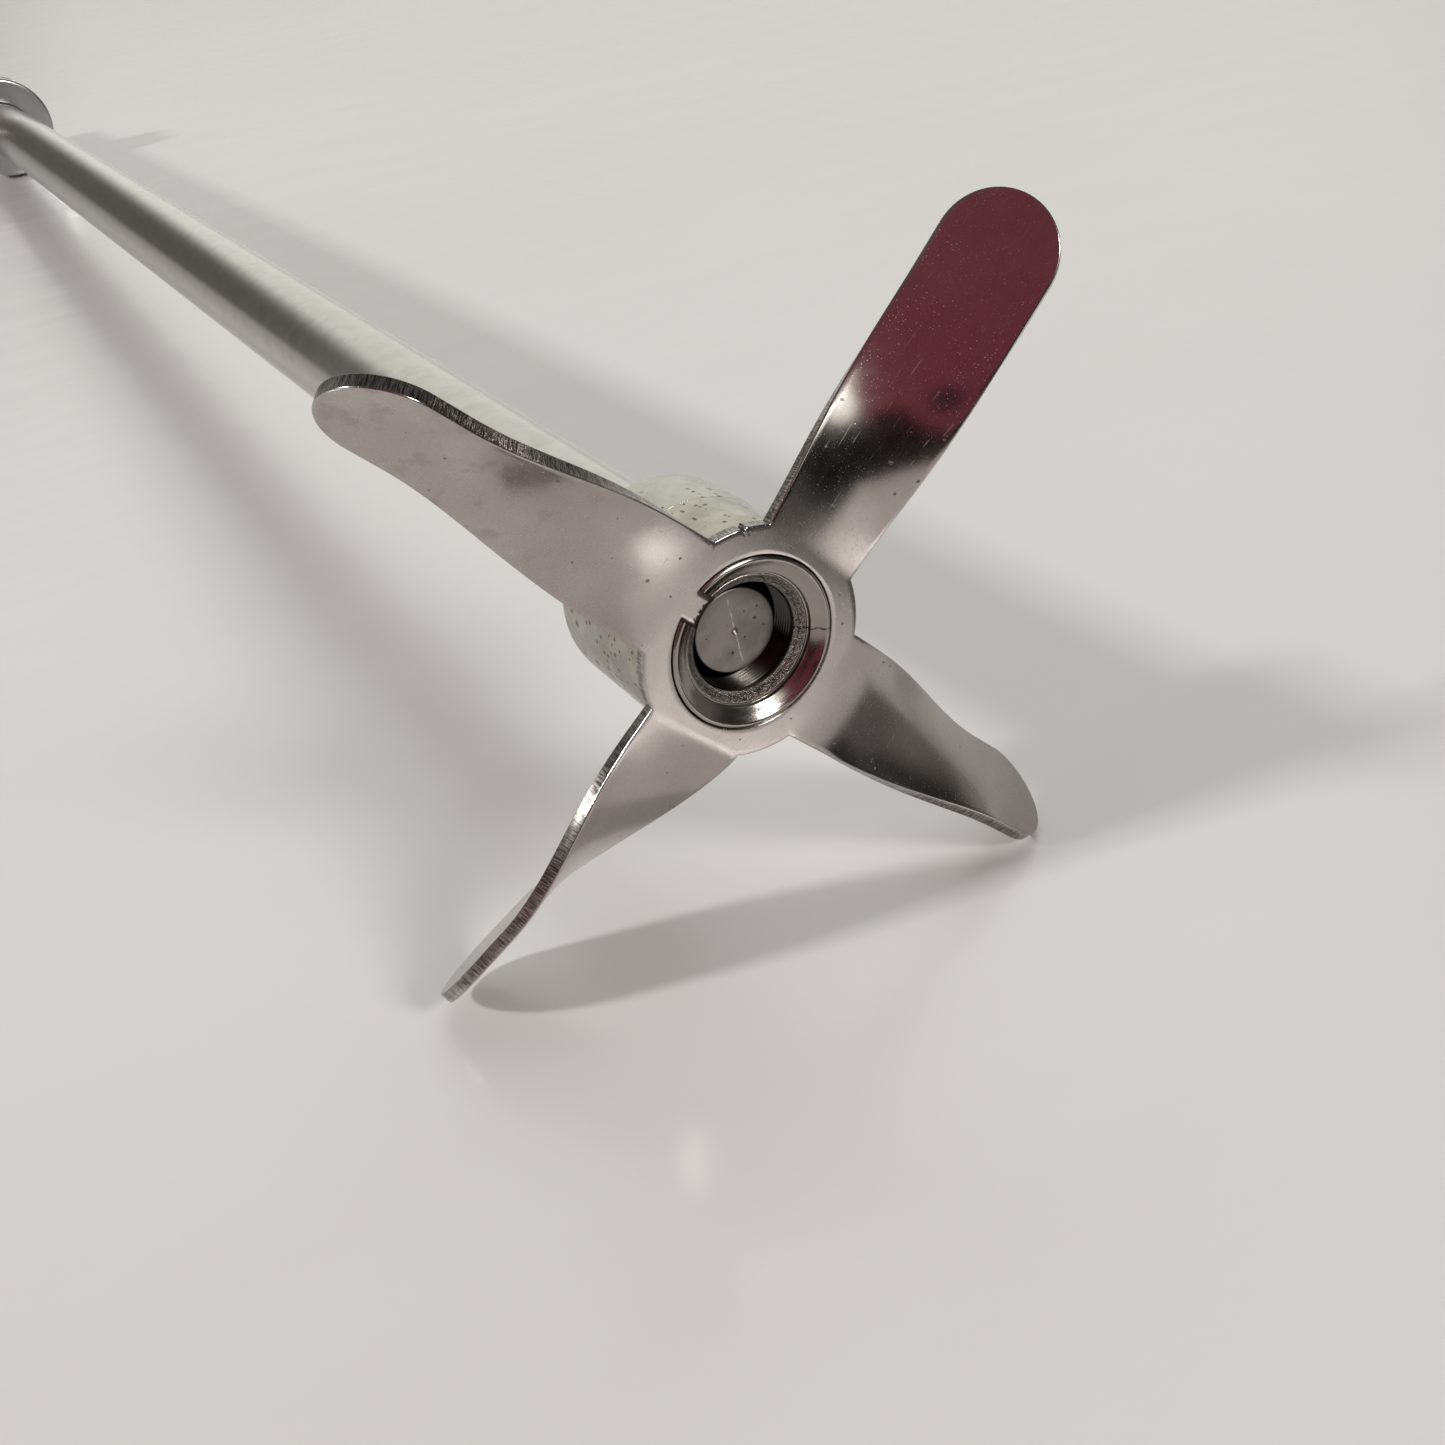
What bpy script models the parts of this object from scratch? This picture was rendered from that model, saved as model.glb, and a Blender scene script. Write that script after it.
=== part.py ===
"""Four-blade stirring propeller on a long round shaft, as an assembly of separate pieces.

A blade star pressed from stainless sheet is clinched on the turned hub boss: the boss's spigot
passes through the star's countersunk hole and is flared out over it, and a small key tab of the
star sits in a notch of the flared lip. A threaded stud, fixed in the front end of the shaft tube,
holds the boss against a ferrule of the same diameter on the tube. A collar with two grub screws
and an end plug finish the shaft's drive end.

The pieces are modelled along a local axis (+Z points out of the hub's nose, z = 0 is the star's
front face), then the whole assembly is laid down as it lies on a table: on the tips of two blades
and on the drive collar. Metres, +Z up, origin on the table under the middle of the assembly.
"""

import math

import bmesh
import bpy
from mathutils import Matrix, Vector

MM = 0.001
GAP = 0.3 * MM                       # clearance between neighbouring pieces

# Shaft
SHAFT_RADIUS = 6.35 * MM
SHAFT_BORE_RADIUS = 4.65 * MM
SHAFT_FRONT_Z = -9.3 * MM            # the tube's front end, behind the hub boss
SHAFT_REAR_Z = -438.0 * MM

# Blade star
SHEET = 1.15 * MM
CORE_RADIUS = 10.04 * MM             # corners between the core and the blades
CORNER_ANGLE = math.radians(30.4)    # half angle that one blade takes of the core
BLADE_HALF_WIDTH = 5.03 * MM
TIP_RADIUS = 40.7 * MM               # centre line to blade tip
TWIST = math.radians(57.6)           # blade pitch at the outer end
TWIST_START = 5.6 * MM
TWIST_END = 32.7 * MM
ROOT_EASE = 1.0 * MM                 # how gently bend and twist set in at a blade's root
HOLE_FRONT_RADIUS = 7.75 * MM        # countersunk hole for the flared lip
HOLE_BACK_RADIUS = 6.95 * MM
BLADE_COUNT = 4
# How each blade left the press: sweep and forward bend in degrees, its shares of TWIST and TWIST_END.
BLADE_SET = (
    (3.9, 3.0, 0.85, 1.0),
    (1.3, -1.8, 1.01, 1.0),
    (0.8, -16.8, 1.0, 0.954),
    (1.6, -0.85, 1.045, 1.0),
)
KEYED_BLADE = 1                      # the tab and the lip's notch lie under this blade's root
KEY_HALF_WIDTH = 1.15 * MM
KEY_TIP_RADIUS = 6.2 * MM

# Hub boss, and the ferrule behind it
BOSS_RADIUS = 9.62 * MM
BOSS_REAR_Z = -9.0 * MM
FERRULE_REAR_Z = -16.8 * MM
FERRULE_REAR_ROUND = 1.1 * MM
BOSS_BORE_RADIUS = 4.70 * MM
SPIGOT_RADIUS = 6.65 * MM
LIP_RADIUS = 7.45 * MM
NOTCH_HALF_WIDTH = KEY_HALF_WIDTH + GAP

# Stud in the front end of the shaft
STUD_RADIUS = 4.35 * MM
STUD_FACE_RADIUS = 3.76 * MM
STUD_FACE_Z = -2.98 * MM
STUD_REAR_Z = -27.0 * MM

# Drive end
COLLAR_RADIUS = 12.7 * MM
COLLAR_FRONT_Z = -404.0 * MM
COLLAR_LENGTH = 14.0 * MM
SCREW_RADIUS = 2.2 * MM
SCREW_LENGTH = 5.0 * MM
SCREW_SOCKET_RADIUS = 1.3 * MM       # across corners
SCREW_AZIMUTHS = (math.radians(20.0), math.radians(110.0))
PLUG_HEAD_LENGTH = 3.0 * MM
PLUG_SHANK_LENGTH = 12.0 * MM

ROUND_STEPS = 48
LIP_STEPS = 72


def clear_scene():
    for obj in list(bpy.data.objects):
        bpy.data.objects.remove(obj, do_unlink=True)


def new_collection(name):
    collection = bpy.data.collections.new(name)
    bpy.context.scene.collection.children.link(collection)
    return collection


def steel(name, colour, roughness):
    material = bpy.data.materials.new(name)
    material.use_nodes = True
    shader = material.node_tree.nodes["Principled BSDF"]
    shader.inputs["Base Color"].default_value = (*colour, 1.0)
    shader.inputs["Roughness"].default_value = roughness
    shader.inputs["Metallic"].default_value = 1.0
    material.diffuse_color = (*colour, 1.0)
    return material


def add_object(name, mesh, material, collection, axis):
    obj = bpy.data.objects.new(name, mesh)
    collection.objects.link(obj)
    obj.parent = axis
    if material:
        mesh.materials.append(material)
    return obj


def add_cutter(name, mesh, collection, axis):
    cutter = add_object(name, mesh, None, collection, axis)
    cutter.hide_render = True
    cutter.display_type = "WIRE"
    return cutter


def turned(name, profile, steps, material, collection, axis):
    """Turn a profile of (radius, z) points, outer side top to bottom, about the axis."""
    closed = profile[0][0] > 0.0
    mesh = bpy.data.meshes.new(name)
    edges = [(i, i + 1) for i in range(len(profile) - 1)]
    if closed:
        edges.append((len(profile) - 1, 0))
    mesh.from_pydata([(radius, 0.0, z) for radius, z in profile], edges, [])
    obj = add_object(name, mesh, material, collection, axis)
    screw = obj.modifiers.new("turn", "SCREW")
    screw.axis = "Z"
    screw.angle = 2.0 * math.pi
    screw.steps = steps
    screw.render_steps = steps
    screw.use_merge_vertices = True
    screw.merge_threshold = 1e-5
    screw.use_smooth_shade = True
    return obj


def cut(obj, cutter):
    boolean = obj.modifiers.new("cut_" + cutter.name, "BOOLEAN")
    boolean.operation = "DIFFERENCE"
    boolean.solver = "EXACT"
    boolean.object = cutter


def prism(name, sides, radius, length, collection, axis):
    mesh = bpy.data.meshes.new(name)
    bm = bmesh.new()
    bmesh.ops.create_cone(bm, cap_ends=True, segments=sides, radius1=radius, radius2=radius, depth=length)
    bm.to_mesh(mesh)
    bm.free()
    return add_cutter(name, mesh, collection, axis)


def arc(centre, radius, start, end, steps):
    """Points of a circular arc in a turned profile; angles in degrees from the +radius direction."""
    points = []
    for i in range(steps + 1):
        angle = math.radians(start + (end - start) * i / steps)
        points.append((centre[0] + radius * math.cos(angle), centre[1] + radius * math.sin(angle)))
    return points


# ---- blade star ---------------------------------------------------------------------------

CORE_SPAN = CORE_RADIUS * math.cos(CORNER_ANGLE)         # distance of a blade's root chord
BLADE_STATIONS = 18
TIP_STATIONS = 7
COLUMNS = 6                                              # across a blade
ARC_STEPS = 4                                            # along the core between two blades


def smoothstep(value):
    value = min(max(value, 0.0), 1.0)
    return value * value * (3.0 - 2.0 * value)


def blade_point(blade, distance, across):
    """A point of the sheet's front face on one blade, at a distance from the axis."""
    sweep, bend, twist_share, end_share = BLADE_SET[blade]
    run = distance - CORE_SPAN
    reach = TWIST_END * end_share - TWIST_START
    start = smoothstep((CORE_SPAN - TWIST_START) / reach)
    ramp = smoothstep((distance - TWIST_START) / reach)
    eased = run / (run + ROOT_EASE)
    pitch = TWIST * twist_share * eased * (ramp - start) / (1.0 - start)
    side = run * math.tan(math.radians(sweep)) + across * math.cos(pitch)
    lift = eased * run * math.tan(math.radians(bend)) - across * math.sin(pitch)
    turn = Matrix.Rotation(2.0 * math.pi * blade / BLADE_COUNT, 3, "Z")
    return turn @ Vector((distance, side, lift))


def blade_rows(blade):
    """Rows of points from root to tip; the rows shrink along the round tip."""
    root_half = CORE_RADIUS * math.sin(CORNER_ANGLE)
    straight_end = TIP_RADIUS - BLADE_HALF_WIDTH
    rows = []
    for i in range(BLADE_STATIONS + 1):
        share = i / BLADE_STATIONS
        distance = CORE_SPAN + (straight_end - CORE_SPAN) * share
        half = BLADE_HALF_WIDTH + (root_half - BLADE_HALF_WIDTH) * max(0.0, 1.0 - 6.0 * share)
        rows.append((distance, half))
    for i in range(1, TIP_STATIONS):
        angle = 0.5 * math.pi * i / TIP_STATIONS
        rows.append((straight_end + BLADE_HALF_WIDTH * math.sin(angle), BLADE_HALF_WIDTH * math.cos(angle)))
    points = []
    for distance, half in rows:
        across = [half * (2.0 * j / COLUMNS - 1.0) for j in range(COLUMNS + 1)]
        points.append([blade_point(blade, distance, offset) for offset in across])
    return points, blade_point(blade, TIP_RADIUS, 0.0)


def star_sheet():
    """The star's front face as one open surface, with the hole's edge as its inner boundary."""
    bm = bmesh.new()
    rim = []
    for blade in range(BLADE_COUNT):
        points, tip_point = blade_rows(blade)
        rows = [[bm.verts.new(point) for point in row] for row in points]
        tip = bm.verts.new(tip_point)
        for lower, upper in zip(rows, rows[1:]):
            for j in range(COLUMNS):
                bm.faces.new((lower[j], upper[j], upper[j + 1], lower[j + 1]))
        for j in range(COLUMNS):
            bm.faces.new((rows[-1][j], tip, rows[-1][j + 1]))
        rim.extend(rows[0])
        first = 2.0 * math.pi * blade / BLADE_COUNT + CORNER_ANGLE
        span = 2.0 * math.pi / BLADE_COUNT - 2.0 * CORNER_ANGLE
        for i in range(1, ARC_STEPS):
            angle = first + span * i / ARC_STEPS
            rim.append(bm.verts.new((CORE_RADIUS * math.cos(angle), CORE_RADIUS * math.sin(angle), 0.0)))
    hole = []
    for vertex in rim:
        flat = Vector((vertex.co.x, vertex.co.y, 0.0)).normalized()
        hole.append(bm.verts.new(flat * HOLE_BACK_RADIUS))
    count = len(rim)
    for i in range(count):
        after = (i + 1) % count
        bm.faces.new((hole[i], rim[i], rim[after], hole[after]))
    return bm


def make_star(material, collection, axis):
    bm = star_sheet()
    mesh = bpy.data.meshes.new("propeller_star")
    bm.to_mesh(mesh)
    bm.free()
    star = add_object("propeller_star", mesh, material, collection, axis)
    solidify = star.modifiers.new("sheet", "SOLIDIFY")
    solidify.thickness = SHEET
    solidify.offset = -1.0
    solidify.use_even_offset = True
    return star


def make_key_tab(star, cutters, axis):
    """Square tab that reaches from the star's hole into the lip's notch."""
    mesh = bpy.data.meshes.new("key_tab")
    bm = bmesh.new()
    length = HOLE_BACK_RADIUS + 1.0 * MM - KEY_TIP_RADIUS
    bmesh.ops.create_cube(bm, size=1.0)
    bmesh.ops.scale(bm, vec=(length, 2.0 * KEY_HALF_WIDTH, SHEET - 0.1 * MM), verts=bm.verts)
    shift = Vector((KEY_TIP_RADIUS + 0.5 * length, 0.0, -0.5 * SHEET))
    bmesh.ops.translate(bm, vec=shift, verts=bm.verts)
    bmesh.ops.rotate(bm, matrix=blade_turn(KEYED_BLADE), verts=bm.verts)
    bm.to_mesh(mesh)
    bm.free()
    tab = add_cutter("key_tab", mesh, cutters, axis)
    union = star.modifiers.new("add_key_tab", "BOOLEAN")
    union.operation = "UNION"
    union.solver = "EXACT"
    union.object = tab


def blade_turn(blade):
    return Matrix.Rotation(2.0 * math.pi * blade / BLADE_COUNT, 3, "Z")


def countersink(star, cutters, axis):
    """Cone that opens the star's hole towards its front face."""
    mesh = bpy.data.meshes.new("countersink")
    bm = bmesh.new()
    over = 0.5 * MM
    slope = (HOLE_FRONT_RADIUS - HOLE_BACK_RADIUS) / SHEET
    bmesh.ops.create_cone(
        bm,
        cap_ends=True,
        segments=LIP_STEPS,
        radius1=HOLE_BACK_RADIUS - slope * over,
        radius2=HOLE_FRONT_RADIUS + slope * over,
        depth=SHEET + 2.0 * over,
    )
    bmesh.ops.translate(bm, vec=Vector((0.0, 0.0, -0.5 * SHEET)), verts=bm.verts)
    bm.to_mesh(mesh)
    bm.free()
    cut(star, add_cutter("countersink", mesh, cutters, axis))


# ---- hub boss, stud and shaft ------------------------------------------------------------

def make_boss(material, collection, cutters, axis):
    star_back = -SHEET - GAP
    bevel = 0.15 * MM
    profile = [
        (LIP_RADIUS - 0.15 * MM, 0.16 * MM),
        (LIP_RADIUS, 0.0),
        (SPIGOT_RADIUS, -SHEET),
        (SPIGOT_RADIUS, star_back),
        (BOSS_RADIUS - bevel, star_back),
        (BOSS_RADIUS, star_back - bevel),
        (BOSS_RADIUS, BOSS_REAR_Z + bevel),
        (BOSS_RADIUS - bevel, BOSS_REAR_Z),
        (BOSS_BORE_RADIUS, BOSS_REAR_Z),
        (BOSS_BORE_RADIUS, -2.6 * MM),
        (BOSS_BORE_RADIUS + 0.25 * MM, -2.35 * MM),
        (BOSS_BORE_RADIUS, -2.1 * MM),
        (BOSS_BORE_RADIUS, -1.75 * MM),
        (4.85 * MM, -1.5 * MM),
        (5.05 * MM, -1.42 * MM),
        (5.75 * MM, -0.8 * MM),
        (5.83 * MM, -0.6 * MM),
        (6.30 * MM, -0.33 * MM),
        (6.85 * MM, -0.03 * MM),
    ]
    boss = turned("hub_boss", profile, LIP_STEPS, material, collection, axis)

    mesh = bpy.data.meshes.new("lip_notch")
    bm = bmesh.new()
    bmesh.ops.create_cube(bm, size=1.0)
    depth = 1.0 * MM - star_back
    length = LIP_RADIUS - 3.0 * MM
    bmesh.ops.scale(bm, vec=(length, 2.0 * NOTCH_HALF_WIDTH, depth), verts=bm.verts)
    shift = Vector((LIP_RADIUS + 0.5 * MM - 0.5 * length, 0.0, star_back + 0.5 * depth))
    bmesh.ops.translate(bm, vec=shift, verts=bm.verts)
    bmesh.ops.rotate(bm, matrix=blade_turn(KEYED_BLADE), verts=bm.verts)
    bm.to_mesh(mesh)
    bm.free()
    cut(boss, add_cutter("lip_notch", mesh, cutters, axis))
    return boss


def make_ferrule(material, collection, axis):
    bevel = 0.15 * MM
    front = BOSS_REAR_Z - GAP
    centre = (BOSS_RADIUS - FERRULE_REAR_ROUND, FERRULE_REAR_Z + FERRULE_REAR_ROUND)
    profile = [(BOSS_RADIUS - bevel, front), (BOSS_RADIUS, front - bevel)]
    profile += arc(centre, FERRULE_REAR_ROUND, 0.0, -90.0, 5)
    profile += [(SHAFT_RADIUS + GAP, FERRULE_REAR_Z), (SHAFT_RADIUS + GAP, front)]
    return turned("hub_ferrule", profile, LIP_STEPS, material, collection, axis)


def make_stud(material, collection, axis):
    chamfer = 0.5 * MM
    profile = [
        (0.0, STUD_FACE_Z - 0.25 * MM),
        (0.35 * MM, STUD_FACE_Z),
        (STUD_FACE_RADIUS, STUD_FACE_Z),
        (STUD_FACE_RADIUS, STUD_FACE_Z - 1.0 * MM),
        (STUD_RADIUS, STUD_FACE_Z - 1.4 * MM),
        (STUD_RADIUS, STUD_REAR_Z + chamfer),
        (STUD_RADIUS - chamfer, STUD_REAR_Z),
        (0.0, STUD_REAR_Z),
    ]
    return turned("shaft_stud", profile, ROUND_STEPS, material, collection, axis)


def make_shaft(material, collection, axis):
    chamfer = 0.4 * MM
    profile = [
        (SHAFT_RADIUS - chamfer, SHAFT_FRONT_Z),
        (SHAFT_RADIUS, SHAFT_FRONT_Z - chamfer),
        (SHAFT_RADIUS, SHAFT_REAR_Z + chamfer),
        (SHAFT_RADIUS - chamfer, SHAFT_REAR_Z),
        (SHAFT_BORE_RADIUS, SHAFT_REAR_Z),
        (SHAFT_BORE_RADIUS, SHAFT_FRONT_Z),
    ]
    return turned("shaft_tube", profile, ROUND_STEPS, material, collection, axis)


# ---- drive end ----------------------------------------------------------------------------

def radial_matrix(azimuth, radius, z):
    """Place a piece whose +Z points outward along a radius."""
    outward = Matrix.Rotation(azimuth, 4, "Z") @ Matrix.Rotation(0.5 * math.pi, 4, "Y")
    spot = Vector((radius * math.cos(azimuth), radius * math.sin(azimuth), z))
    return Matrix.Translation(spot) @ outward


def make_collar(material, collection, cutters, axis):
    bevel = 0.8 * MM
    rear = COLLAR_FRONT_Z - COLLAR_LENGTH
    profile = [
        (COLLAR_RADIUS - bevel, COLLAR_FRONT_Z),
        (COLLAR_RADIUS, COLLAR_FRONT_Z - bevel),
        (COLLAR_RADIUS, rear + bevel),
        (COLLAR_RADIUS - bevel, rear),
        (SHAFT_RADIUS + GAP, rear),
        (SHAFT_RADIUS + GAP, COLLAR_FRONT_Z),
    ]
    collar = turned("drive_collar", profile, ROUND_STEPS, material, collection, axis)
    for number, azimuth in enumerate(SCREW_AZIMUTHS, 1):
        reach = COLLAR_RADIUS - SHAFT_RADIUS + 3.0 * MM
        hole = prism(f"screw_hole_{number}", 32, SCREW_RADIUS + GAP, reach, cutters, axis)
        middle = SHAFT_RADIUS - 1.0 * MM + 0.5 * reach
        hole.matrix_local = radial_matrix(azimuth, middle, COLLAR_FRONT_Z - 0.5 * COLLAR_LENGTH)
        cut(collar, hole)
    return collar


def make_set_screws(material, collection, cutters, axis):
    chamfer = 0.4 * MM
    point = 0.8 * MM
    for number, azimuth in enumerate(SCREW_AZIMUTHS, 1):
        profile = [
            (0.0, SCREW_LENGTH),
            (SCREW_RADIUS - chamfer, SCREW_LENGTH),
            (SCREW_RADIUS, SCREW_LENGTH - chamfer),
            (SCREW_RADIUS, point),
            (SCREW_RADIUS - point, 0.0),
            (0.0, 0.0),
        ]
        screw = turned(f"collar_screw_{number}", profile, 32, material, collection, axis)
        place = radial_matrix(azimuth, SHAFT_RADIUS + GAP, COLLAR_FRONT_Z - 0.5 * COLLAR_LENGTH)
        screw.matrix_local = place
        socket = prism(f"screw_socket_{number}", 6, SCREW_SOCKET_RADIUS, 4.0 * MM, cutters, axis)
        socket.matrix_local = place @ Matrix.Translation((0.0, 0.0, SCREW_LENGTH))
        cut(screw, socket)


def make_end_plug(material, collection, axis):
    chamfer = 0.8 * MM
    head_rear = SHAFT_REAR_Z - GAP - PLUG_HEAD_LENGTH
    profile = [
        (0.0, SHAFT_REAR_Z + PLUG_SHANK_LENGTH),
        (STUD_RADIUS - chamfer, SHAFT_REAR_Z + PLUG_SHANK_LENGTH),
        (STUD_RADIUS, SHAFT_REAR_Z + PLUG_SHANK_LENGTH - chamfer),
        (STUD_RADIUS, SHAFT_REAR_Z - GAP),
        (SHAFT_RADIUS, SHAFT_REAR_Z - GAP),
        (SHAFT_RADIUS, head_rear + chamfer),
        (SHAFT_RADIUS - chamfer, head_rear),
        (0.0, head_rear),
    ]
    return turned("shaft_end_plug", profile, ROUND_STEPS, material, collection, axis)


# ---- laying the assembly on the table ----------------------------------------------------

def blade_outline(blade):
    """Front and back edge points of one blade, along the local axis."""
    points, tip = blade_rows(blade)
    edge = [row[0] for row in points] + [row[-1] for row in points] + [tip]
    return edge + [point - Vector((0.0, 0.0, SHEET)) for point in edge]


def lowest(points, turn):
    return min((turn @ point).z for point in points)


def resting_matrix():
    """Roll and tilt at which two lower blades and the drive collar touch the table together."""
    left = blade_outline(2)
    right = blade_outline(3)
    lay = Matrix.Rotation(0.5 * math.pi, 3, "X")
    low, high = math.radians(20.0), math.radians(70.0)
    tilt = 0.0
    for _ in range(60):
        roll = 0.5 * (low + high)
        turn = Matrix.Rotation(-tilt, 3, "X") @ lay @ Matrix.Rotation(roll, 3, "Z")
        if lowest(left, turn) < lowest(right, turn):
            high = roll
        else:
            low = roll
        star_height = -lowest(left, turn)
        tilt = math.asin((star_height - COLLAR_RADIUS) / -COLLAR_FRONT_Z)
    return turn.to_4x4()


def lay_down(axis, parts):
    """Put the assembly's box on z = 0 with its middle over the origin."""
    axis.matrix_world = resting_matrix()
    bpy.context.view_layer.update()
    graph = bpy.context.evaluated_depsgraph_get()
    points = []
    for obj in parts.objects:
        evaluated = obj.evaluated_get(graph)
        mesh = evaluated.to_mesh()
        points.extend(evaluated.matrix_world @ vertex.co for vertex in mesh.vertices)
        evaluated.to_mesh_clear()
    low = Vector([min(point[i] for point in points) for i in range(3)])
    high = Vector([max(point[i] for point in points) for i in range(3)])
    shift = Vector((-0.5 * (low.x + high.x), -0.5 * (low.y + high.y), -low.z))
    axis.matrix_world = Matrix.Translation(shift) @ axis.matrix_world
    bpy.context.view_layer.update()


def main():
    clear_scene()
    parts = new_collection("stirring_propeller")
    cutters = new_collection("cutters")
    axis = bpy.data.objects.new("propeller_axis", None)
    bpy.context.scene.collection.objects.link(axis)

    star_steel = steel("pressed_sheet_steel", (0.62, 0.59, 0.56), 0.28)
    boss_steel = steel("turned_boss_steel", (0.66, 0.64, 0.58), 0.24)
    ferrule_steel = steel("turned_ferrule_steel", (0.64, 0.64, 0.62), 0.20)
    shaft_steel = steel("polished_shaft_steel", (0.60, 0.58, 0.55), 0.16)
    stud_steel = steel("stud_end_steel", (0.48, 0.44, 0.41), 0.42)
    collar_steel = steel("collar_steel", (0.60, 0.60, 0.60), 0.30)
    screw_steel = steel("screw_black_steel", (0.12, 0.12, 0.13), 0.45)

    star = make_star(star_steel, parts, axis)
    countersink(star, cutters, axis)
    make_key_tab(star, cutters, axis)
    make_boss(boss_steel, parts, cutters, axis)
    make_ferrule(ferrule_steel, parts, axis)
    make_stud(stud_steel, parts, axis)
    make_shaft(shaft_steel, parts, axis)
    make_collar(collar_steel, parts, cutters, axis)
    make_set_screws(screw_steel, parts, cutters, axis)
    make_end_plug(shaft_steel, parts, axis)
    lay_down(axis, parts)


main()
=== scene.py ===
"""Looks for the stirring propeller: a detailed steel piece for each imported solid, and the stage.

Shapes are written in millimetres along the propeller's own axis (+Z out of the hub's nose, z = 0
on the star's front face, blade 0 along +X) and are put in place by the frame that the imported
solids give.
"""

import math

import bmesh
import bpy
import numpy as np
from mathutils import Matrix, Vector, noise


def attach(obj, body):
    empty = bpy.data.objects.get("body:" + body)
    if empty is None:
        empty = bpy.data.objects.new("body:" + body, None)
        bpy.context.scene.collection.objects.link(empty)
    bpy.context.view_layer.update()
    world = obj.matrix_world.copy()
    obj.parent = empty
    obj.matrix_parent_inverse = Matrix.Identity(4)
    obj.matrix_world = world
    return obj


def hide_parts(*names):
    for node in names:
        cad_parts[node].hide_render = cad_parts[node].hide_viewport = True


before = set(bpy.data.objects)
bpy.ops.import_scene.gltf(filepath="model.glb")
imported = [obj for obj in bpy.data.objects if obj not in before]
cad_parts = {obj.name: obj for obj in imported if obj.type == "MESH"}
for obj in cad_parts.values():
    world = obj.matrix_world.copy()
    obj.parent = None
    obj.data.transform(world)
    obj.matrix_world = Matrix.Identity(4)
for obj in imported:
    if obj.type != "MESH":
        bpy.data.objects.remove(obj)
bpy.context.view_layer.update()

MM = 0.001

# Shaft and its drive end, as packed
SHAFT_RADIUS = 6.35
SHAFT_BORE_RADIUS = 4.65
SHAFT_FRONT_Z = -9.3
SHAFT_REAR_Z = -438.0
COLLAR_RADIUS = 12.7
COLLAR_FRONT_Z = -404.0
COLLAR_LENGTH = 14.0
COLLAR_MIDDLE_Z = COLLAR_FRONT_Z - 0.5 * COLLAR_LENGTH
COLLAR_BORE_RADIUS = 6.5
SCREW_RADIUS = 2.2
SCREW_LENGTH = 5.0
SCREW_FOOT_RADIUS = 6.65             # distance of a screw's point from the shaft's axis
SCREW_CLEARANCE = 0.15
SCREW_SOCKET_RADIUS = 1.3
SCREW_SOCKET_DEPTH = 2.0
SCREW_AZIMUTHS = (math.radians(20.0), math.radians(110.0))
PLUG_HEAD_LENGTH = 3.0
PLUG_SHANK_LENGTH = 12.0

# Blade star, as packed
SHEET = 1.15
CORE_RADIUS = 10.04
CORNER_ANGLE = math.radians(30.4)
BLADE_HALF_WIDTH = 5.03
TIP_RADIUS = 40.7
TWIST = math.radians(57.6)
TWIST_START = 5.6
TWIST_END = 32.7
ROOT_EASE = 1.0
ROOT_TAPER = 6.0                     # a blade's sides draw in over its length divided by this
HOLE_FRONT_RADIUS = 7.58
HOLE_BACK_RADIUS = 6.95
BLADE_COUNT = 4
# Each blade's sweep and forward bend in degrees, and its shares of TWIST and TWIST_END
BLADE_SET = (
    (3.9, 3.0, 0.85, 1.0),
    (1.3, -1.8, 1.01, 1.0),
    (0.8, -16.8, 1.0, 0.954),
    (1.6, -0.85, 1.045, 1.0),
)
KEYED_BLADE = 1
KEY_HALF_WIDTH = 1.15
KEY_TIP_RADIUS = 6.05
KEY_TIP_FRAY = 0.13
KEY_SIDE_FRAY = 0.05

# The small nick in the core's edge between blades 0 and 1, with a burr beside it: angles and
# NICK_WIDTH in degrees
NICK_ANGLE = 44.0
NICK_DEPTH = 0.34
NICK_WIDTH = 0.9
BURR_ANGLE = 42.0
BURR_HEIGHT = 0.1
ARC_WEAR = 0.05                      # how deep the wear beside them goes

# Hub boss, ferrule and stud, as packed but for the gaps between them, which close to hairlines
BOSS_RADIUS = 9.62
BOSS_REAR_Z = -9.0
FERRULE_FRONT_Z = -9.03
FERRULE_REAR_Z = -16.8
BOSS_BORE_RADIUS = 4.70
SPIGOT_RADIUS = 6.65
LIP_RADIUS = 7.45
STUD_RADIUS = 4.35
STUD_FACE_RADIUS = 3.76
STUD_FACE_Z = -2.98
STUD_REAR_Z = -27.0

# Thread, key notch and lip crack of the boss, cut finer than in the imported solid
THREAD_REAR_Z = -4.6
THREAD_FRONT_Z = -1.75
THREAD_PITCH = 0.36
THREAD_FLANK = 0.24
THREAD_GROOVE = 0.20
THREAD_CREST = 0.02
NOTCH_CLEARANCE = 0.24
NOTCH_FLOOR_Z = -SHEET - 0.7
NOTCH_TOP_Z = 1.0
NOTCH_INNER_RADIUS = 3.9
NOTCH_OUTER_RADIUS = 8.3
NOTCH_TORN_RADIUS = 6.4              # its sides are torn inside this radius, and cut outside it
NOTCH_TORN, NOTCH_CUT = 0.16, 0.02
CRACK_AZIMUTH = math.radians(306.5)
CRACK_DEPTH = 0.02
CRACK_HALF_WIDTH = 0.11
LIP_WAVE = 0.03                      # how uneven the lip's outer edge is

# How finely round pieces are divided
BOSS_STEPS = 320
FERRULE_STEPS = 256
SHAFT_STEPS = 192
PLUG_STEPS = 128
SCREW_STEPS = 64

# Camera, in metres and degrees
CAMERA_LENS = 39.43
CAMERA_LOCATION = (-0.05200961, -0.31542916, 0.09449894)
CAMERA_TURN = (56.8417, 5.9062, -30.4483)

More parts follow.
